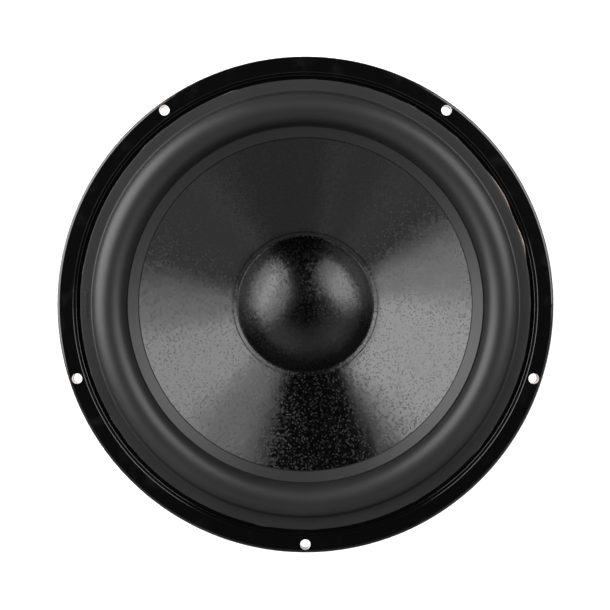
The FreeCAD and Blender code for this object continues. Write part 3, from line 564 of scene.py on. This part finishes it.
def build_surround():
    """Outer lip, half roll and inner lip in one moulding, with tight creases where they meet."""
    fillet, edge = 0.9 * MM, 0.35 * MM
    fold, fold_w, toe_w = 0.6 * MM, 0.12 * MM, 0.9 * MM
    chamfer, tip_w, tip_depth = 0.45 * MM, 0.1 * MM, 0.75 * INNER_LIP_T
    lip_r, lip_bottom = SURROUND_HI[0], LIP_TOP_Z - LIP_T
    lean = math.degrees(math.asin(fillet / (ROLL_R + fillet)))
    crease_r = ROLL_MID_R + (ROLL_R + fillet) * math.cos(math.radians(lean))
    front = arc((lip_r - edge, lip_bottom + edge), edge, -90, 0, 4)
    front += arc((lip_r - edge, LIP_TOP_Z - edge), edge, 0, 90, 4)
    front += line((lip_r - edge, LIP_TOP_Z), (crease_r, LIP_TOP_Z), 6)[1:]
    front += arc((crease_r, LIP_TOP_Z + fillet), fillet, -90, -180 + lean, 6)
    front += arc((ROLL_MID_R, LIP_TOP_Z), ROLL_R, lean + 2, 180, 68)
    fold_r, toe_r = ROLL_IN_R - fold_w, ROLL_IN_R - toe_w
    front += [np.array([ROLL_IN_R, LIP_TOP_Z - fold]), np.array([fold_r, inner_lip_z(fold_r, -fold)])]
    flat_r = INNER_LIP_R + chamfer
    front += line((toe_r, inner_lip_z(toe_r)), (flat_r, inner_lip_z(flat_r)), 9)
    front += [
        np.array([flat_r, inner_lip_z(flat_r)]),
        np.array([INNER_LIP_R + tip_w, inner_lip_z(INNER_LIP_R, -tip_depth)]),
    ]
    back_tip = (
        INNER_LIP_R + INNER_LIP_T * math.sin(SLOPE),
        inner_lip_z(INNER_LIP_R) - INNER_LIP_T * math.cos(SLOPE),
    )
    corner_r = ROLL_IN_R + SURROUND_T
    back_corner = (corner_r, inner_lip_z(corner_r, -INNER_LIP_T))
    back = line(back_tip, back_corner, 8) + [np.array(back_corner)]
    back += arc((ROLL_MID_R, LIP_TOP_Z), ROLL_R - SURROUND_T, 178, 2, 48)
    back += [np.array([ROLL_OUT_R - SURROUND_T, lip_bottom])]
    back += line((ROLL_OUT_R, lip_bottom), (lip_r - edge, lip_bottom), 5)
    surround = turned("rubber_surround", front + back, 384, 35.0)
    dress(surround, surround_rubber())
    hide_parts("surround")
    flex(surround)


def build_tick_bars():
    """A row of small raised bars moulded on the outer lip, at the left."""
    count, bar_w, bar_h, sunk = 9, 0.55 * MM, 0.28 * MM, 0.1 * MM
    long_bar, short_bar = 2.6 * MM, 1.5 * MM
    middle_r, spacing = 115.3 * MM, 1.55 * MM
    # each bar is three rectangles, one above the other: how much of its width each has, and its height
    levels = ((1.0, -sunk), (0.94, bar_h * 0.55), (0.62, bar_h))
    points, faces = [], []
    for k in range(count):
        length = long_bar if k % 4 == 0 else short_bar
        angle = math.pi + (k - (count - 1) / 2) * spacing / middle_r
        out = np.array([math.cos(angle), math.sin(angle), 0.0])
        side = np.array([-out[1], out[0], 0.0])
        base = len(points)
        for share, height in levels:
            for a, b in ((-1, -1), (1, -1), (1, 1), (-1, 1)):
                reach = length / 2 - (1 - share) * bar_w / 2
                spot = out * (middle_r + a * reach) + side * (b * bar_w / 2 * share)
                points.append(spot + np.array([0, 0, LIP_TOP_Z + height]))
        for level in (base, base + 4):
            for j in range(4):
                a, b = level + j, level + (j + 1) % 4
                faces.append((a, b, b + 4, a + 4))
        faces.append((base + 8, base + 9, base + 10, base + 11))
        faces.append((base + 3, base + 2, base + 1, base))
    bars = mesh_object("surround_tick_bars", points, faces, 60.0)
    dress(bars, bpy.data.materials["surround rubber"])
    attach(bars, "frame")


def build_glue():
    """Thin film under the lip, with an uneven bead squeezed out round it."""
    lip_r = SURROUND_HI[0]
    angles = np.linspace(0, 2 * math.pi, 720, endpoint=False)
    swell = 0.35 + 0.35 * ripple(angles, (17, 29, 53, 7), (0.4, 2.1, 1.3, 0.2))
    # three places with more squeezed out: the angle, how far each spreads, and by how much it swells
    for centre, spread, lift in ((16.5, 3.4, 1.5), (30.0, 5.0, 1.4), (133.0, 5.0, 0.25)):
        off = (np.degrees(angles) - centre + 180) % 360 - 180
        swell = swell + lift * np.exp(-((off / spread) ** 2))
    swell = np.clip(swell, 0.05, 1.7)
    bead_w, bead_h, tuck = 0.95 * MM, 1.045 * MM, 0.2 * MM
    film_bottom, film_top = SEAT_Z + 0.02 * MM, SEAT_Z + 0.18 * MM
    rows = []
    for turn in np.radians(np.linspace(0, 180, 9)):
        radius = lip_r - tuck + bead_w * 0.5 * swell * (1 + math.cos(turn))
        rows.append(ring(radius, angles, film_bottom + bead_h * swell * math.sin(turn)))
    inner_r = ROLL_OUT_R + 0.5 * MM
    rows += [ring(inner_r, angles, film_top), ring(inner_r, angles, film_bottom)]
    faces = grid_faces(len(rows), len(angles), True)
    glue = mesh_object("surround_adhesive", np.concatenate(rows), faces, 60.0)
    dress(glue, amber_glue())
    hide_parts("surround_glue")
    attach(glue, "frame")


# ---- cone, dust cap and spider ---------------------------------------------------------------------


def cone_z(radius, lift=0.0):
    """Height of the cone's front face, or of a face parallel to it."""
    return inner_lip_z(radius, lift - INNER_LIP_T - CONE_GLUE)


def build_cone():
    """Straight-sided cone, which bends down into a short neck round the former."""
    neck_z = CONE_LO[2]
    neck_out = FORMER_R + CONE_T
    bend_w, bend_h = 2.2 * MM, 1.32 * MM
    corner = np.array([FORMER_R, cone_z(FORMER_R)])
    start = np.array([FORMER_R + bend_w, cone_z(FORMER_R + bend_w)])
    front = line((CONE_R, cone_z(CONE_R)), start, 70)
    front += bend(start, corner, corner - np.array([0, bend_h]), 6)
    front += [np.array([FORMER_R, neck_z])]
    out_corner = np.array([neck_out, cone_z(neck_out, -CONE_T)])
    rim = (CONE_R + CONE_T * math.sin(SLOPE), cone_z(CONE_R) - CONE_T * math.cos(SLOPE))
    back = [np.array([neck_out, neck_z]), out_corner]
    back += line(out_corner, rim, 60)[1:] + [np.array(rim)]
    cone = turned("woven_cone", front + back, 360, 50.0)
    dress(cone, cone_weave())
    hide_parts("cone")
    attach(cone, "cone_assembly")


def build_dust_cap():
    """A pressed dome whose skirt turns out, over a tight bend, into a flange that lies on the cone."""
    edge_z = cone_z(CAP_R, CAP_T)
    centre = (0.0, edge_z - math.sqrt(CAP_SPHERE_R**2 - CAP_R**2))
    lean = math.degrees(math.asin(CAP_R / CAP_SPHERE_R))
    bend_r, chamfer, rim_lift = 0.8 * MM, 0.28 * MM, 0.48 * MM
    # the section stops just short of the axis, and its rim just off the cone
    tiny = 0.02 * MM
    rim = CAP_FLANGE_R
    rim_z = cone_z(rim, rim_lift)
    flange_slope = math.atan2(rim_z - edge_z, rim - CAP_R)
    # the bend runs into the dome and into the flange at the same distance from the crease
    reach = math.tan((math.radians(lean) + flange_slope) / 2) * bend_r
    bend_start = math.radians(lean) - reach / CAP_SPHERE_R
    start = np.array([CAP_SPHERE_R * math.sin(bend_start), centre[1] + CAP_SPHERE_R * math.cos(bend_start)])
    toe = np.array([CAP_R + reach * math.cos(flange_slope), edge_z + reach * math.sin(flange_slope)])
    crease = np.array([CAP_R, edge_z])
    front = [np.array([tiny, centre[1] + CAP_SPHERE_R])]
    front += arc(centre, CAP_SPHERE_R, 89, 90 - math.degrees(bend_start), 54)[:-1]
    front += bend(start, crease, toe, 8)
    front += [
        np.array([rim, rim_z]),
        np.array([rim + chamfer, cone_z(rim + chamfer, tiny)]),
        np.array([rim + chamfer, cone_z(rim + chamfer)]),
    ]
    inner_r = CAP_SPHERE_R - CAP_T
    inner_edge = math.sin(math.radians(lean)) * inner_r
    back = [np.array([inner_edge, cone_z(inner_edge)])]
    back += arc(centre, inner_r, 90 - lean, 89, 40) + [np.array([tiny, centre[1] + inner_r])]
    cap = turned("domed_dust_cap", front + back, 256, 35.0)
    dress(cap, cap_weave())
    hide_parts("dust_cap")
    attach(cap, "cone_assembly")


def build_spider():
    """Corrugated cloth disc with a glued rim and a collar up the former."""
    level = SPIDER_LO[2] + SPIDER_WAVE_H + SPIDER_T / 2
    radii = np.linspace(SPIDER_RIM_R, SPIDER_FLAT_R, SPIDER_WAVES * 24 + 1)
    phase = (SPIDER_RIM_R - radii) / (SPIDER_RIM_R - SPIDER_FLAT_R) * 2 * math.pi * SPIDER_WAVES
    heights = -SPIDER_WAVE_H * np.sin(phase)
    slope = np.gradient(heights, radii)
    normal = np.column_stack([-slope, np.ones_like(slope)]) / np.sqrt(1 + slope**2)[:, None]
    middle = np.column_stack([radii, level + heights])
    half = SPIDER_T / 2
    rim_r = SPIDER_HI[0]
    front = [np.array([rim_r, level + half])] + list(middle + normal * half)
    collar_out, collar_top, soft = SPIDER_IN_R + SPIDER_T, SPIDER_HI[2], 0.1 * MM
    collar = [(collar_out, level + half), (collar_out, collar_top)]
    collar += [(SPIDER_IN_R, collar_top), (SPIDER_IN_R, level - half)]
    front += rounded(collar, [0, soft, soft, 0])
    back = list((middle - normal * half)[::-1]) + [np.array([rim_r, level - half])]
    spider = turned("corrugated_spider", front + back, 288, 60.0)
    dress(spider, spider_cloth())
    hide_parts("spider")
    flex(spider)


# ---- gasket and magnet boot ------------------------------------------------------------------------


def build_gasket():
    """Foam ring with softly rounded edges and five punched holes."""
    thick, soft = GASKET_HI[2] - GASKET_LO[2], 0.3 * MM
    outline = bpy.data.curves.new("gasket_outline", "CURVE")
    outline.dimensions = "2D"
    outline.fill_mode = "BOTH"
    outline.extrude = thick / 2 - soft
    outline.bevel_depth = soft
    outline.bevel_resolution = 2
    rings = [((0, 0), GASKET_HI[0] - soft, 240), ((0, 0), GASKET_IN_R + soft, 240)]
    for angle in HOLE_ANGLES:
        centre = (HOLE_CIRCLE_R * math.cos(angle), HOLE_CIRCLE_R * math.sin(angle))
        rings.append((centre, HOLE_R + soft, 32))
    for centre, radius, steps in rings:
        spline = outline.splines.new("POLY")
        spline.points.add(steps - 1)
        for k, point in enumerate(spline.points):
            turn = 2 * math.pi * k / steps
            point.co = (centre[0] + radius * math.cos(turn), centre[1] + radius * math.sin(turn), 0, 1)
        spline.use_cyclic_u = True
    source = bpy.data.objects.new("gasket_outline", outline)
    mesh = bpy.data.meshes.new_from_object(source)
    bpy.data.objects.remove(source)
    mesh.transform(Matrix.Translation((0, 0, (GASKET_LO[2] + GASKET_HI[2]) / 2)))
    mesh.name = "foam_gasket"
    mesh.shade_smooth()
    mesh.set_sharp_from_angle(angle=math.radians(50))
    gasket = bpy.data.objects.new("foam_gasket", mesh)
    bpy.context.scene.collection.objects.link(gasket)
    dress(gasket, foam())
    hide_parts("mounting_gasket")
    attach(gasket, "frame")


def build_boot():
    """Moulded rubber boot: two bands of grip ribs, rounded shoulders and a lip over each end."""
    outer, magnet = BOOT_HI[0], MAGNET_HI[0]
    back, front = BOOT_LO[2], BOOT_HI[2]
    magnet_back, magnet_front = MAGNET_LO[2], FRONT_MAGNET_HI[2]
    shoulder, front_shoulder = 3.5 * MM, 2.5 * MM
    outline = [(outer - shoulder, back)]
    outline += arc((outer - shoulder, back + shoulder), shoulder, -80, 0, 8)
    # four grooves in each band
    pitch, groove_w, floor_w, groove_depth = 1.9 * MM, 1.1 * MM, 0.6 * MM, 0.5 * MM
    for band in (0.26, 0.74):
        middle = back + (front - back) * band
        for k in range(4):
            z = middle + (k - 1.5) * pitch
            outline += [
                (outer, z - groove_w / 2), (outer - groove_depth, z - floor_w / 2),
                (outer - groove_depth, z + floor_w / 2), (outer, z + groove_w / 2),
            ]
    outline += arc((outer - front_shoulder, front - front_shoulder), front_shoulder, 0, 90, 8)
    front_lip, back_lip = 0.6 * MM, 0.8 * MM
    outline += arc((BOOT_LIP_R + front_lip, front - front_lip), front_lip, 90, 180, 5)
    outline += [(BOOT_LIP_R, magnet_front), (magnet, magnet_front)]
    outline += [(magnet, magnet_back), (BOOT_BACK_LIP_R, magnet_back)]
    outline += arc((BOOT_BACK_LIP_R + back_lip, back + back_lip), back_lip, 180, 270, 4)
    boot = turned("rubber_magnet_boot", outline, 256, 38.0)
    dress(boot, moulded("boot rubber", (0.012, 0.012, 0.013), (0.02, 0.02, 0.021), 0.5))
    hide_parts("magnet_boot")
    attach(boot, "frame")


# ---- tinsel leads and springs ----------------------------------------------------------------------


def smooth_line(name, route):
    """Points along the smooth curve that has the route's points as its control points."""
    curve = bpy.data.curves.new(name, "CURVE")
    curve.dimensions = "3D"
    curve.resolution_u = 12
    spline = curve.splines.new("NURBS")
    spline.points.add(len(route) - 1)
    for point, place in zip(spline.points, route):
        point.co = (*place, 1.0)
    spline.order_u = 3
    spline.use_endpoint_u = True
    holder = bpy.data.objects.new(name, curve)
    mesh = bpy.data.meshes.new_from_object(holder)
    points = np.array([v.co for v in mesh.vertices])
    bpy.data.objects.remove(holder)
    bpy.data.meshes.remove(mesh)
    return points


def resampled(points, step):
    """The same line with points at even distances, and how far along it each of them is."""
    gaps = np.linalg.norm(np.diff(points, axis=0), axis=1)
    run = np.concatenate([[0], np.cumsum(gaps)])
    count = max(2, int(round(run[-1] / step)) + 1)
    marks = np.linspace(0, run[-1], count)
    return np.column_stack([np.interp(marks, run, points[:, k]) for k in range(3)]), marks


def carried_frames(points):
    """Two directions across a line at each point, carried along it without twist."""
    tangents = np.gradient(points, axis=0)
    tangents /= np.linalg.norm(tangents, axis=1)[:, None]
    first = np.cross(tangents[0], (0.0, 0.0, 1.0))
    if np.linalg.norm(first) < 1e-6:
        first = np.cross(tangents[0], (1.0, 0.0, 0.0))
    firsts = []
    for tangent in tangents:
        first = first - tangent * np.dot(first, tangent)
        first = first / np.linalg.norm(first)
        firsts.append(first)
    firsts = np.array(firsts)
    return firsts, np.cross(tangents, firsts)


def tube(name, points, radius_at, sides):
    """A capped tube along a line; radius_at(k, angles) gives its radius round each section."""
    first, second = carried_frames(points)
    angles = np.linspace(0, 2 * math.pi, sides, endpoint=False)
    rows = []
    for k, middle in enumerate(points):
        radius = radius_at(k, angles)
        across = np.outer(radius * np.cos(angles), first[k]) + np.outer(radius * np.sin(angles), second[k])
        rows.append(middle + across)
    flat = np.concatenate(rows)
    faces = grid_faces(len(points), sides)
    last = (len(points) - 1) * sides
    faces.append(tuple(range(sides))[::-1])
    faces.append(tuple(last + k for k in range(sides)))
    return mesh_object(name, flat, faces, 60.0)


def lead_route(side):
    """Control points of a tinsel lead, from its solder on the former to the terminal's lug."""
    angle = math.radians(-90 + side * STRIP_ANGLE)
    reach = FORMER_R + SOLDER_REACH
    x = abs(MOUNTS["positive_wire_hole"]["pos_m"][0])
    lug_top = -34.7 * MM
    return [
        (reach * math.cos(angle), reach * math.sin(angle), -42.6 * MM),
        (side * 6.3 * MM, -35.5 * MM, -42.0 * MM),
        (side * 7.0 * MM, -44.0 * MM, -35.8 * MM),
        (side * 8.0 * MM, -54.5 * MM, -30.6 * MM),
        (side * 8.6 * MM, -65.5 * MM, -30.4 * MM),
        (side * x, -73.5 * MM, lug_top + 0.6 * MM),
        (side * x, -78.9 * MM, lug_top),
    ]


def build_lead(name, node, side):
    """Braided tinsel: four strands each way round, which pass over and under each other."""
    step, lay, strands, depth = 0.12 * MM, 3.2 * MM, 4, 0.1
    points, run = resampled(smooth_line(name, lead_route(side)), step)

    def radius_at(k, angles):
        turn = 2 * math.pi * run[k] / lay
        left, right = np.sin(strands * angles + strands * turn), np.sin(strands * angles - strands * turn)
        return LEAD_R * (1 - depth + depth * np.maximum(left, right))

    lead = tube(name, points, radius_at, 24)
    dress(lead, bpy.data.materials["tinsel braid"])
    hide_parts(node)
    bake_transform(lead)


def build_spring(name, node):
    """A wound return spring, built at its rest length and carried with the frame; the real spring shortens as
    its button is pressed.
    """
    low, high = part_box(node)
    wire, turns, steps = 0.25 * MM, 3.0, 40
    middle = [(low[k] + high[k]) / 2 for k in range(3)]
    coil_r = (high[0] - low[0]) / 2 - wire
    start, end = low[1] + wire, high[1] - wire
    share = np.linspace(0, 1, int(turns * steps) + 1)
    turn = 2 * math.pi * turns * share
    points = np.column_stack([
        middle[0] + coil_r * np.cos(turn), start + (end - start) * share, middle[2] + coil_r * np.sin(turn)
    ])
    spring = tube(name, points, lambda k, angles: np.full(len(angles), wire), 12)
    dress(spring, bpy.data.materials["spring steel"])
    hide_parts(node)
    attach(spring, "frame")
    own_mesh(spring)


# ---- floor, lights and camera ----------------------------------------------------------------------


def build_floor():
    """A flat floor under the magnet."""
    side = 6.0
    points = [(-side, -side, FLOOR_Z), (side, -side, FLOOR_Z), (side, side, FLOOR_Z), (-side, side, FLOOR_Z)]
    floor = mesh_object("floor", points, [(0, 1, 2, 3)])
    dress(floor, glowing_floor())


def softbox(name, azimuth, off_axis, distance, size, power):
    """An oval light, aimed at the driver from an azimuth and an angle off its axis."""
    lamp = bpy.data.lights.new(name, "AREA")
    lamp.shape = "ELLIPSE"
    lamp.size, lamp.size_y = size
    lamp.energy = power
    holder = bpy.data.objects.new(name, lamp)
    turn, lean = math.radians(azimuth), math.radians(off_axis)
    side = math.sin(lean)
    place = Vector((side * math.cos(turn), side * math.sin(turn), math.cos(lean))) * distance
    holder.location = place
    holder.rotation_euler = place.to_track_quat("Z", "Y").to_euler()
    bpy.context.scene.collection.objects.link(holder)


def build_lights():
    """Two strong softboxes in front of the driver's face, three weak ones round it, and a dim room."""
    softbox("softbox upper right", azimuth=29.5, off_axis=54.0, distance=1.2, size=(1.1, 1.15), power=18.2)
    softbox("softbox left", azimuth=159.5, off_axis=63.0, distance=1.2, size=(1.5, 1.45), power=38.0)
    softbox("fill left", azimuth=224.0, off_axis=58.0, distance=1.6, size=(1.2, 1.7), power=3.3)
    softbox("fill low", azimuth=275.0, off_axis=58.0, distance=1.6, size=(1.8, 1.7), power=3.2)
    softbox("fill right", azimuth=330.0, off_axis=58.0, distance=1.6, size=(1.4, 1.7), power=4.2)
    world = bpy.data.worlds.new("studio")
    world.use_nodes = True
    room = world.node_tree.nodes["Background"]
    room.inputs["Color"].default_value = (1, 1, 1, 1)
    room.inputs["Strength"].default_value = 0.03
    bpy.context.scene.world = world


def build_camera():
    """Straight on, and so far off that the flange takes about four fifths of the frame's width."""
    distance, frame_width, sensor = 0.80, 0.3201, 36.0
    aside, below = 0.21 * MM, 0.29 * MM
    lens = bpy.data.cameras.new("camera")
    lens.sensor_width = sensor
    lens.lens = sensor * distance / frame_width
    lens.clip_start, lens.clip_end = 0.01, 20.0
    holder = bpy.data.objects.new("camera", lens)
    holder.location = (-aside, -below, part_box("basket")[1][2] + distance)
    bpy.context.scene.collection.objects.link(holder)
    bpy.context.scene.camera = holder


# ---- everything ------------------------------------------------------------------------------------


def dress_cad_nodes():
    """Materials for the CAD nodes that keep their shape, and two that the leads and springs use."""
    steel = turned_metal("zinc-plated steel", (0.38, 0.39, 0.40), (0.62, 0.63, 0.65), 0.34)
    zinc = plain_metal("zinc screw", (0.35, 0.35, 0.36), (0.66, 0.66, 0.68), 0.32)
    gold = plain_metal("gold plating", (0.62, 0.42, 0.14), (0.90, 0.68, 0.30), 0.22)
    tin = plain_metal("soft solder", (0.45, 0.45, 0.46), (0.72, 0.72, 0.73), 0.25, 500.0, 0.08 * MM)
    plain_metal("tinsel braid", (0.34, 0.20, 0.13), (0.78, 0.62, 0.52), 0.38, 2400.0)
    plain_metal("spring steel", (0.40, 0.40, 0.41), (0.70, 0.70, 0.72), 0.28)
    plastic = moulded("terminal plastic", (0.012, 0.012, 0.012), (0.022, 0.022, 0.023), 0.45, 1800.0)
    cap_grain = {"grain": 900.0, "depth": 0.015 * MM}
    red = moulded("red plastic", (0.42, 0.008, 0.008), (0.58, 0.02, 0.018), 0.28, **cap_grain)
    black = moulded("black plastic", (0.010, 0.010, 0.010), (0.022, 0.022, 0.022), 0.28, **cap_grain)
    ground_ferrite = ferrite()
    finishes = {
        "basket": basket_coat(),
        "front_plate": steel,
        "t_yoke": steel,
        "front_magnet": ground_ferrite,
        "rear_magnet": ground_ferrite,
        "shorting_ring": turned_metal("turned aluminium", (0.60, 0.60, 0.61), (0.82, 0.82, 0.83), 0.3),
        "vent_screen": moulded("black screen", (0.008, 0.008, 0.008), (0.02, 0.02, 0.02), 0.4),
        "frame_screws": zinc,
        "terminal_screws": zinc,
        "terminal_block": plastic,
        "positive_contact": gold,
        "negative_contact": gold,
        "coil_solder": tin,
        "positive_lug_solder": tin,
        "negative_lug_solder": tin,
        "voice_coil_former": film("amber film", (0.22, 0.08, 0.02), (0.42, 0.19, 0.05), 0.3),
        "former_collar": film("kraft collar", (0.42, 0.30, 0.17), (0.58, 0.45, 0.28), 0.8),
        "voice_coil_winding": wound_copper(),
        "coil_lead_strips": plain_metal("copper foil", (0.52, 0.20, 0.10), (0.85, 0.44, 0.28), 0.3),
        "positive_button": red,
        "negative_button": black,
    }
    for node, material in finishes.items():
        dress(frame["nodes"][node], material)


build_camera()
build_lights()
build_floor()
dress_cad_nodes()
build_surround()
build_tick_bars()
build_glue()
dress(frame["nodes"]["neck_glue"], bpy.data.materials["amber adhesive"])
build_cone()
build_dust_cap()
build_spider()
build_gasket()
build_boot()
build_lead("positive_tinsel_braid", "positive_tinsel_lead", 1)
build_lead("negative_tinsel_braid", "negative_tinsel_lead", -1)
build_spring("positive_return_spring", "positive_spring")
build_spring("negative_return_spring", "negative_spring")
bpy.context.scene.view_settings.view_transform = "Standard"
